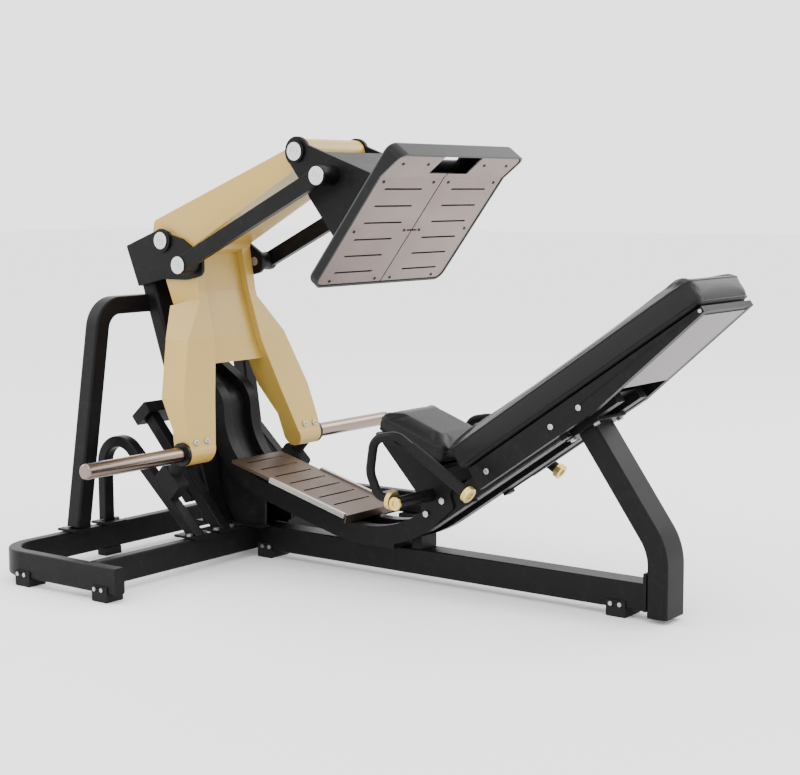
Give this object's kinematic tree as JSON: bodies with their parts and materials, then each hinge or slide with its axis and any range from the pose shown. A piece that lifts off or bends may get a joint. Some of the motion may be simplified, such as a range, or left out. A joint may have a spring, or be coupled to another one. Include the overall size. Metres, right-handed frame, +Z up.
{
  "type": "leg press machine",
  "caption": "Plate-loaded leg press with a swinging weight lever, parallel link, slotted foot plate, inclined back rest on a sliding carriage, seat, side handles and tubular base.",
  "frame": {"origin": "middle of the machine in plan, on the floor", "axes": "+X toward the head end of the back rest, +Y across the machine to the seated user's right as they face the foot plate, +Z up"},
  "size_m": [2.136, 1.5876, 1.368],
  "materials": {
    "frame_black": "satin powder coat",
    "tray_black": "satin powder coat",
    "flange_black": "gloss black enamel",
    "lever_gold": "satin mustard-gold powder coat",
    "step_brown": "brushed, dark brown tint",
    "plate_steel": "brushed, taupe tint",
    "rail_alu": "brushed",
    "peg_chrome": "polished",
    "pivot_cap": "polished",
    "pin_steel": "turned",
    "bolt_steel": "zinc plated",
    "cap_gold": "gold anodised",
    "bush_brass": "turned",
    "rubber_black": "matt",
    "slide_nylon": "matt",
    "pad_leather": "grained, soft sheen",
    "board_brown": "varnished"
  },
  "bodies": {
    "frame": {"base_loop": "frame_black", "cross_tube": "frame_black", "spine_tube": "frame_black", "tower_stub": "frame_black", "rear_leg": "frame_black", "leg_plates": "frame_black", "tower": "frame_black", "head_block": "frame_black", "head_plates": "frame_black", "head_bosses": "frame_black", "rear_hoop": "frame_black", "stop_arches": "frame_black", "base_flanges": "frame_black", "stop_posts": "frame_black", "stop_bar": "frame_black", "main_beams": "frame_black", "beam_web": "frame_black", "beam_supports": "frame_black", "step_risers": "frame_black", "seat_plates": "frame_black", "handle_bar": "frame_black", "handle_loops": "frame_black", "rest_bumpers": "rubber_black", "post_pads": "rubber_black", "floor_feet": "rubber_black", "hand_grips": "rubber_black", "head_pins": "pin_steel", "head_caps": "pivot_cap", "step_plate": "step_brown", "step_rails": "rail_alu", "seat_pad": "pad_leather", "seat_board": "board_brown", "handle_caps": "cap_gold", "adjuster_rods": "frame_black", "frame_bolts": "bolt_steel"},
    "lever": {"lever_arm": "lever_gold", "lever_core": "lever_gold", "lever_legs": "lever_gold", "lever_hubs": "pin_steel", "weight_pegs": "peg_chrome", "peg_caps": "peg_chrome", "peg_flanges": "flange_black", "lever_bolts": "bolt_steel"},
    "link": {"link_bars": "frame_black", "link_bushes": "bush_brass"},
    "footplate": {"plate_cheeks": "frame_black", "plate_webs": "frame_black", "plate_bosses": "frame_black", "tray_ribs": "frame_black", "plate_pins": "pin_steel", "plate_caps": "pivot_cap", "foot_tray": "tray_black", "foot_sheet": "plate_steel", "sheet_screws": "bolt_steel"},
    "carriage": {"carriage_channels": "frame_black", "carriage_crossbars": "frame_black", "slide_blocks": "slide_nylon", "back_board": "board_brown", "back_pad": "pad_leather", "carriage_bolts": "bolt_steel"}
  },
  "joints": [
    {"name": "lever_pivot", "type": "hinge", "parent": "frame", "child": "lever", "pos_m": [-0.89801, 0, 1.041], "axis": [0, -1, 0], "range_deg": [0, 42]},
    {"name": "link_pivot", "type": "hinge", "parent": "frame", "child": "link", "pos_m": [-0.75801, 0, 0.9655], "axis": [0, -1, 0], "range_deg": [0, 42]},
    {"name": "footplate_pivot", "type": "hinge", "parent": "lever", "child": "footplate", "pos_m": [-0.31601, 0, 1.322], "axis": [0, -1, 0], "range_deg": [-42, 0]},
    {"name": "backrest_slide", "type": "slide", "parent": "frame", "child": "carriage", "axis": [0.8261, 0, 0.5635], "range_m": [0, 0.09]}
  ],
  "couplings": [
    {"joint": "link_pivot", "follows": "lever_pivot", "ratio": 1},
    {"joint": "footplate_pivot", "follows": "lever_pivot", "ratio": -1}
  ]
}
